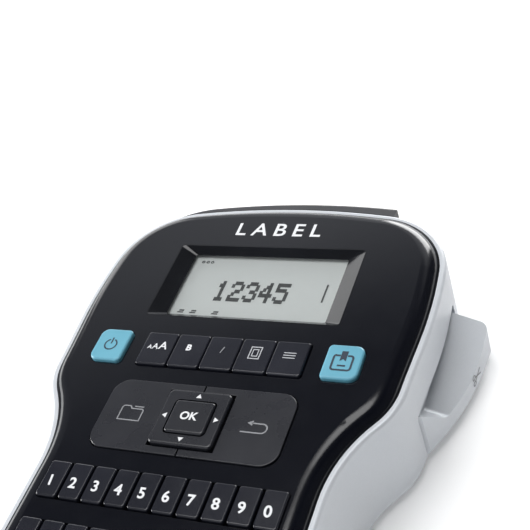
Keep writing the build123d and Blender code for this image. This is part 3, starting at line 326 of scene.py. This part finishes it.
def legend(name, body, text, x, y, height, size, material=None, bold=0.012, slant=0.0,
           spacing=1.0):
    """A printed legend made from a text outline, turned into a thin mesh."""
    curve = bpy.data.curves.new(name, "FONT")
    curve.body = text
    curve.size = size
    curve.align_x = "CENTER"
    curve.align_y = "CENTER"
    curve.offset = bold * size
    curve.shear = slant
    curve.space_character = spacing
    curve.resolution_u = 6
    curve.extrude = INK_THICK / 2
    source = bpy.data.objects.new(name + "_source", curve)
    bpy.context.scene.collection.objects.link(source)
    bpy.context.view_layer.update()
    data = bpy.data.meshes.new_from_object(source.evaluated_get(bpy.context.evaluated_depsgraph_get()))
    bpy.data.objects.remove(source)
    data.transform(Matrix.Translation((x, y, height + INK_LIFT + INK_THICK / 2)))
    data.materials.clear()
    data.materials.append(material or WHITE_INK)
    piece = bpy.data.objects.new(name, data)
    bpy.context.scene.collection.objects.link(piece)
    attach(piece, body)
    return piece


# digit and letter legends sit low on their caps
DIGITS = "1234567890"
DIGIT_SIZE = 4.5 * MM
LEGEND_DROP = 0.9 * MM
LEGEND_SHIFT = -0.35 * MM
UPRIGHT = -0.12           # digits lean a little left of upright
for digit in DIGITS:
    node = "digit_key_" + digit
    x, y, top = middle(node)
    legend("legend_" + digit, node, digit, x + LEGEND_SHIFT, y - LEGEND_DROP, top, DIGIT_SIZE,
           bold=0.024, slant=UPRIGHT)

ROWS = {
    "top_row_keys": "QWERTYUIOP",
    "home_row_keys": "ASDFGHJKL",
    "bottom_row_keys": "ZXCVBNM",
}
pitch = middle("digit_key_2")[0] - middle("digit_key_1")[0]
for node, letters in ROWS.items():
    low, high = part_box(node)
    x, y, top = middle(node)
    first = low[0] + (high[0] - low[0] - pitch * round((high[0] - low[0]) / pitch - 1)) / 2
    for column, letter in enumerate(letters):
        legend("legend_" + letter, node, letter, first + column * pitch, y - LEGEND_DROP, top, 4.0 * MM,
               bold=0.02, slant=UPRIGHT)

low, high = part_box("home_row_keys")
home_top = high[2]
erase_x = high[0] - pitch / 2 + 0.35 * MM
erase_y = (low[1] + high[1]) / 2
arrow_left = [(-2.0, 0), (-0.8, 1.2), (-0.8, -1.2)]
mark("icon_delete", "home_row_keys", WHITE_INK,
     placed([arrow_left, *stroke([(-0.9, 0), (1.8, 0)], 0.5)], erase_x, erase_y), home_top)

x, y, top = middle("shift_key")
shift_arrow = [(0, 1.8), (-1.7, 0.1), (-0.7, 0.1), (-0.7, -1.6), (0.7, -1.6), (0.7, 0.1), (1.7, 0.1)]
mark("icon_shift", "shift_key", WHITE_INK, placed([shift_arrow], x, y), top)

x, y, top = middle("space_key")
mark("icon_space", "space_key", WHITE_INK,
     placed(stroke([(-4.5, 0.7), (-4.5, -0.7), (4.5, -0.7), (4.5, 0.7)], 0.5), x, y), top)

# the small command keys of the lowest rows carry plain signs
column_one = middle("digit_key_1")[0]
key_low, key_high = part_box("control_keys")
control_y, control_top = (key_low[1] + key_high[1]) / 2, key_high[2]
ring = stroke(arc((0, 0), 1.3, 0, 360, 24), 0.4)
cross = stroke([(-1.3, 0), (1.3, 0)], 0.45) + stroke([(0, -1.1), (0, -0.45)], 0.45) + stroke([(0, 0.45), (0, 1.1)], 0.45)
ladder = [bar for rise in (-1.1, 0.0, 1.1) for bar in stroke([(-1.5, rise), (1.5, rise)], 0.4)]
chevron_left = stroke([(0.8, 1.3), (-0.8, 0), (0.8, -1.3)], 0.45)
chevron_right = stroke([(-0.8, 1.3), (0.8, 0), (-0.8, -1.3)], 0.45)
for column, sign in ((0, ring), (1, ladder), (7, cross), (8, chevron_left), (9, chevron_right)):
    mark("icon_control_%d" % column, "control_keys", WHITE_INK,
         placed(sign, column_one + column * pitch, control_y), control_top)
lowest_x, lowest_y, lowest_top = middle("bottom_row_keys")
for column, sign in ((8, "."), (9, ",")):
    legend("legend_point_%d" % column, "bottom_row_keys", sign, column_one + column * pitch,
           lowest_y - LEGEND_DROP, lowest_top, 5.0 * MM, bold=0.02)

# command keys between the blue keys
x, y, top = middle("size_key")
COMMAND_RISE = 0.9 * MM
for letter, offset, size in (("A", -2.6, 2.1), ("A", -0.8, 2.9), ("A", 1.7, 4.0)):
    legend("legend_size_%d" % round(size * 10), "size_key", letter, x + offset * MM,
           y + (size - 4.0) * 0.35 * MM + COMMAND_RISE, top, size * MM)
x, y, top = middle("bold_key")
legend("legend_bold", "bold_key", "B", x - 0.3 * MM, y + COMMAND_RISE, top, 3.0 * MM, bold=0.04)
x, y, top = middle("italic_key")
legend("legend_italic", "italic_key", "I", x - 0.3 * MM, y + COMMAND_RISE, top, 3.4 * MM, GREY_INK, bold=0.0, slant=0.3)
x, y, top = middle("frame_key")
y += COMMAND_RISE
page = [(-1.6, 2.1), (1.6, 2.1), (1.6, -2.1), (-1.6, -2.1), (-1.6, 2.1)]
inner_page = [(-0.8, 1.2), (0.8, 1.2), (0.8, -1.2), (-0.8, -1.2), (-0.8, 1.2)]
mark("icon_frame", "frame_key", PALE_INK,
     placed(stroke(page, 0.32) + stroke(inner_page, 0.28), x, y), top)
x, y, top = middle("menu_key")
y += COMMAND_RISE
menu_bars = [bar for level in (-0.9, 0.0, 0.9) for bar in stroke([(-1.7, level), (1.7, level)], 0.3)]
mark("icon_menu", "menu_key", PALE_INK, placed(menu_bars, x, y), top)

# blue keys
x, y, top = middle("power_key")
power_icon = stroke(arc((0, -0.2), 1.95, 118, 422), 0.45) + stroke([(0, 0.3), (0, 2.2)], 0.45)
mark("icon_power", "power_key", DARK_INK, placed(power_icon, x, y), top)
x, y, top = middle("print_key")
frame_path = [(-1.3, 2.3), (-2.2, 2.3), *arc((-2.0, 1.7), 0.8, 120, 180, 4), *arc((-2.0, -1.9), 0.8, 180, 270, 6),
              *arc((2.0, -1.9), 0.8, 270, 360, 6), *arc((2.0, 1.5), 0.8, 0, 60, 4), (2.2, 2.3), (1.4, 2.3)]
bookmark = [(-0.9, 3.9), (0.9, 3.9), (0.9, 0.4), (0.0, 1.1), (-0.9, 0.4)]
mark("icon_print", "print_key", DARK_INK,
     placed(stroke(frame_path, 0.6) + [bookmark] + stroke([(-0.9, -1.2), (0.9, -1.2)], 0.55), x, y - 0.3 * MM), top)

# a plain word over the display
NAME_AT = Vector((-0.2, 87.2, 0.0)) * MM
legend("legend_name", "case", "LABEL", NAME_AT.x, NAME_AT.y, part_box("front_cover")[1][2], 8.0 * MM,
       bold=0.012, spacing=1.5)

# navigation cluster
x, y, top = middle("ok_key")
legend("legend_ok", "ok_key", "OK", x - 0.3 * MM, y, top, 3.5 * MM, bold=0.03)
low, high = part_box("nav_pad")
x, y, top = middle("nav_pad")
ok_low, ok_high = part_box("ok_key")
ring_x = (high[0] - x + ok_high[0] - x) / 2
ring_y = (high[1] - y + ok_high[1] - y) / 2
for name, turn, reach in (("right", 0, ring_x), ("up", 90, ring_y), ("left", 180, ring_x), ("down", 270, ring_y)):
    turned = Matrix.Rotation(math.radians(turn), 2)
    triangle = [turned @ Vector(p) for p in ((0.75, 0.0), (-0.6, 0.85), (-0.6, -0.85))]
    at = turned @ Vector((reach, 0))
    mark("arrow_" + name, "nav_pad", WHITE_INK,
         placed([[(p.x, p.y) for p in triangle]], x + at.x, y + at.y), top)

x, y, top = middle("memory_key")
wing_x = (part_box("memory_key")[0][0] + low[0]) / 2
folder = [(-4.0, -2.6), (-4.0, 2.4), (-3.4, 3.0), (-1.2, 3.0), (-0.4, 2.0), (3.6, 2.0), (4.0, 1.5), (4.0, -2.6), (-4.0, -2.6)]
mark("icon_folder", "memory_key", GREY_INK,
     placed(stroke(folder, 0.42) + stroke([(0.6, 2.9), (3.6, 2.9)], 0.42), wing_x, y, 0.86 * MM), top)
x, y, top = middle("back_key")
wing_x = (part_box("back_key")[1][0] + high[0]) / 2
back_path = [(-3.6, -1.9), (1.9, -1.9), *arc((2.0, -0.4), 1.5, -90, 90, 10), (-1.0, 1.1)]
back_head = [(-2.6, 1.1), (-1.0, 2.0), (-1.0, 0.2)]
mark("icon_back", "back_key", GREY_INK,
     placed([*stroke(back_path, 0.42), back_head], wing_x, y), top)

# scissors sign on the outer wall of the lever
SIGN_PLACE = Vector((64.73, 58.0, 7.6)) * MM
SIGN_FACES = Vector((0.9842, -0.1771, 0.0))
along = Vector((0, 0, 1)).cross(SIGN_FACES)
rings = stroke(arc((-1.7, -1.2), 0.8, 0, 360, 14), 0.4) + stroke(arc((-1.7, 1.2), 0.8, 0, 360, 14), 0.4)
blades = stroke([(-1.1, -0.8), (2.6, 1.1)], 0.45) + stroke([(-1.1, 0.8), (2.6, -1.1)], 0.45)
sign = mark("icon_scissors", "cutter_lever", GREY_INK, placed(rings + blades, 0, 0), 0.0)
turn = Matrix((along, Vector((0, 0, 1)), SIGN_FACES)).transposed().to_4x4()
sign.data.transform(Matrix.Translation(SIGN_PLACE) @ turn)

# ---------------------------------------------------------------- display contents
DOTS = {
    "1": ("00100", "01100", "00100", "00100", "00100", "00100", "01110"),
    "2": ("01110", "10001", "00001", "00110", "01000", "10000", "11111"),
    "3": ("01110", "10001", "00001", "00110", "00001", "10001", "01110"),
    "4": ("00010", "00110", "01010", "10010", "11111", "00010", "00010"),
    "5": ("11111", "10000", "11110", "00001", "00001", "10001", "01110"),
}
DISPLAY_TEXT = "12345"
x, y, top = middle("lcd_panel")
dot_x, dot_y = 0.82, 1.16
fill = 1.35
step = 6.2 * dot_x
dots = []
for place, character in enumerate(DISPLAY_TEXT):
    left = (place - (len(DISPLAY_TEXT) - 1) / 2) * step - 2 * dot_x
    for line, pattern in enumerate(DOTS[character]):
        for column, lit in enumerate(pattern):
            if lit == "1":
                cx = left + column * dot_x
                cy = 3.2 - line * dot_y
                dots.append([
                    (cx - dot_x * fill / 2, cy - dot_y * fill / 2), (cx + dot_x * fill / 2, cy - dot_y * fill / 2),
                    (cx + dot_x * fill / 2, cy + dot_y * fill / 2), (cx - dot_x * fill / 2, cy + dot_y * fill / 2),
                ])
mark("display_digits", "case", LCD_INK, placed(dots, x - 2.0 * MM, y - 1.0 * MM), top)
small_marks = stroke([(22.0, -3.8), (22.0, 3.0)], 0.6)
for offset in (-23.2, -21.6, -20.0):      # heading of three small signs
    small_marks += stroke(arc((offset, 11.0), 0.42, 0, 360, 10), 0.35)
for offset in (-23.4, -19.2, -11.6):      # status signs
    small_marks += stroke([(offset, -11.0), (offset + 1.6, -11.0)], 0.5) + stroke([(offset + 0.5, -10.2), (offset + 1.6, -10.2)], 0.6)
mark("display_indicators", "case", LCD_INK, placed(small_marks, x, y), top)

# ---------------------------------------------------------------- stage
FLOOR_HALF = 3.0
floor_mesh = bmesh.new()
bmesh.ops.create_grid(floor_mesh, x_segments=1, y_segments=1, size=FLOOR_HALF)
floor_data = bpy.data.meshes.new("floor")
floor_mesh.to_mesh(floor_data)
floor_mesh.free()
floor = bpy.data.objects.new("floor", floor_data)
floor.location = (0, 0, cad_box[0][2])
bpy.context.scene.collection.objects.link(floor)
floor_look = Nodes("floor_paper")
floor_look.feed(floor_look.shader.inputs["Base Color"],
                floor_look.ramp(floor_look.noise(4.0), [(0, (0.93, 0.93, 0.93)), (1, (0.96, 0.96, 0.96))]))
floor_look.shader.inputs["Roughness"].default_value = 0.85
floor_look.shader.inputs["Specular IOR Level"].default_value = 0.1
floor_look.shader.inputs["Emission Color"].default_value = (1, 1, 1, 1)
floor_look.shader.inputs["Emission Strength"].default_value = 0.15
see_through = floor_look.tree.nodes.new("ShaderNodeBsdfTransparent")
sided = floor_look.tree.nodes.new("ShaderNodeMixShader")
geometry = floor_look.tree.nodes.new("ShaderNodeNewGeometry")
floor_look.tree.links.new(geometry.outputs["Backfacing"], sided.inputs["Fac"])
floor_look.tree.links.new(floor_look.shader.outputs["BSDF"], sided.inputs[1])
floor_look.tree.links.new(see_through.outputs["BSDF"], sided.inputs[2])
output = floor_look.tree.nodes["Material Output"]
floor_look.tree.links.new(sided.outputs["Shader"], output.inputs["Surface"])
floor_data.materials.append(floor_look.material)

# ---------------------------------------------------------------- light
world = bpy.data.worlds.new("studio")
bpy.context.scene.world = world
world.use_nodes = True
# a white cyclorama: bright near the horizon, dim overhead, so that flat tops stay dark
# and edges that face the horizon catch a clean line of light
sky_tree = world.node_tree
direction = sky_tree.nodes.new("ShaderNodeTexCoord")
split = sky_tree.nodes.new("ShaderNodeSeparateXYZ")
sky = sky_tree.nodes.new("ShaderNodeValToRGB")
sky_tree.links.new(direction.outputs["Generated"], split.inputs["Vector"])
sky_tree.links.new(split.outputs["Z"], sky.inputs["Fac"])
across = sky_tree.nodes.new("ShaderNodeMapRange")
across.inputs["From Min"].default_value = -1.0
sky_tree.links.new(split.outputs["X"], across.inputs["Value"])
sides = sky_tree.nodes.new("ShaderNodeValToRGB")   # both sides of the room are dimmer than its back
sky_tree.links.new(across.outputs["Result"], sides.inputs["Fac"])
sky_tree.links.new(sides.outputs["Color"], sky_tree.nodes["Background"].inputs["Strength"])
sky_tree.links.new(sky.outputs["Color"], sky_tree.nodes["Background"].inputs["Color"])
SKY_STOPS = ((0.0, 0.95), (0.58, 0.95), (0.64, 0.85), (0.675, 0.32), (0.72, 0.07), (1.0, 0.05))
SIDE_STOPS = ((0.0, 0.22), (0.16, 0.28), (0.30, 1.0), (0.55, 1.0), (0.72, 0.06))
for element in SIDE_STOPS[2:]:
    sides.color_ramp.elements.new(0.5)
for element, (place, grey) in zip(sides.color_ramp.elements, SIDE_STOPS):
    element.position = place
    element.color = (grey, grey, grey, 1.0)
while len(sky.color_ramp.elements) < len(SKY_STOPS):
    sky.color_ramp.elements.new(0.5)
for element, (height, grey) in zip(sky.color_ramp.elements, SKY_STOPS):
    element.position = height
    element.color = (grey * 0.93, grey * 0.955, grey, 1.0)


def softbox(name, place, target, size, power, colour=(1, 1, 1)):
    """A square area light aimed at a point."""
    data = bpy.data.lights.new(name, "AREA")
    data.shape = "SQUARE"
    data.size = size
    data.energy = power
    data.color = colour
    lamp = bpy.data.objects.new(name, data)
    lamp.location = place
    lamp.rotation_euler = (Vector(target) - Vector(place)).to_track_quat("-Z", "Y").to_euler()
    bpy.context.scene.collection.objects.link(lamp)


sun_data = bpy.data.lights.new("overhead", "SUN")
sun_data.energy = 2.35
sun_data.angle = math.radians(50)
overhead = bpy.data.objects.new("overhead", sun_data)
overhead.rotation_euler = Vector((0.10, -0.05, -0.99)).to_track_quat("-Z", "Y").to_euler()
bpy.context.scene.collection.objects.link(overhead)
softbox("low_back_left", (-0.60, 0.62, 0.22), (0, 0.06, 0.035), 0.35, 0.75)
softbox("left_strip", (-0.75, -0.10, 0.16), (0, 0.05, 0.03), 0.35, 5.0)
softbox("back_low", (0.05, 0.80, 0.16), (0, 0.09, 0.03), 0.40, 3.5)

# ---------------------------------------------------------------- camera
CAMERA_PLACE = Vector((131.1, -129.5, 239.7)) * MM
CAMERA_AZIMUTH = 32.98      # to the right of -Y
CAMERA_DOWN = 40.22
CAMERA_ROLL = 20.65
LENS = 69.16
look = Vector((
    -math.sin(math.radians(CAMERA_AZIMUTH)) * math.cos(math.radians(CAMERA_DOWN)),
    math.cos(math.radians(CAMERA_AZIMUTH)) * math.cos(math.radians(CAMERA_DOWN)),
    -math.sin(math.radians(CAMERA_DOWN)),
))
camera_data = bpy.data.cameras.new("camera")
camera_data.lens = LENS
camera_data.sensor_width = 36.0
camera_data.clip_start = 0.01
camera_data.clip_end = 20.0
camera = bpy.data.objects.new("camera", camera_data)
camera.location = CAMERA_PLACE
camera.rotation_mode = "QUATERNION"
camera.rotation_quaternion = look.to_track_quat("-Z", "Y")
roll = Matrix.Rotation(math.radians(-CAMERA_ROLL), 3, "Z").to_quaternion()
camera.rotation_quaternion = camera.rotation_quaternion @ roll
bpy.context.scene.collection.objects.link(camera)
bpy.context.scene.camera = camera
bpy.context.scene.view_settings.view_transform = "Standard"
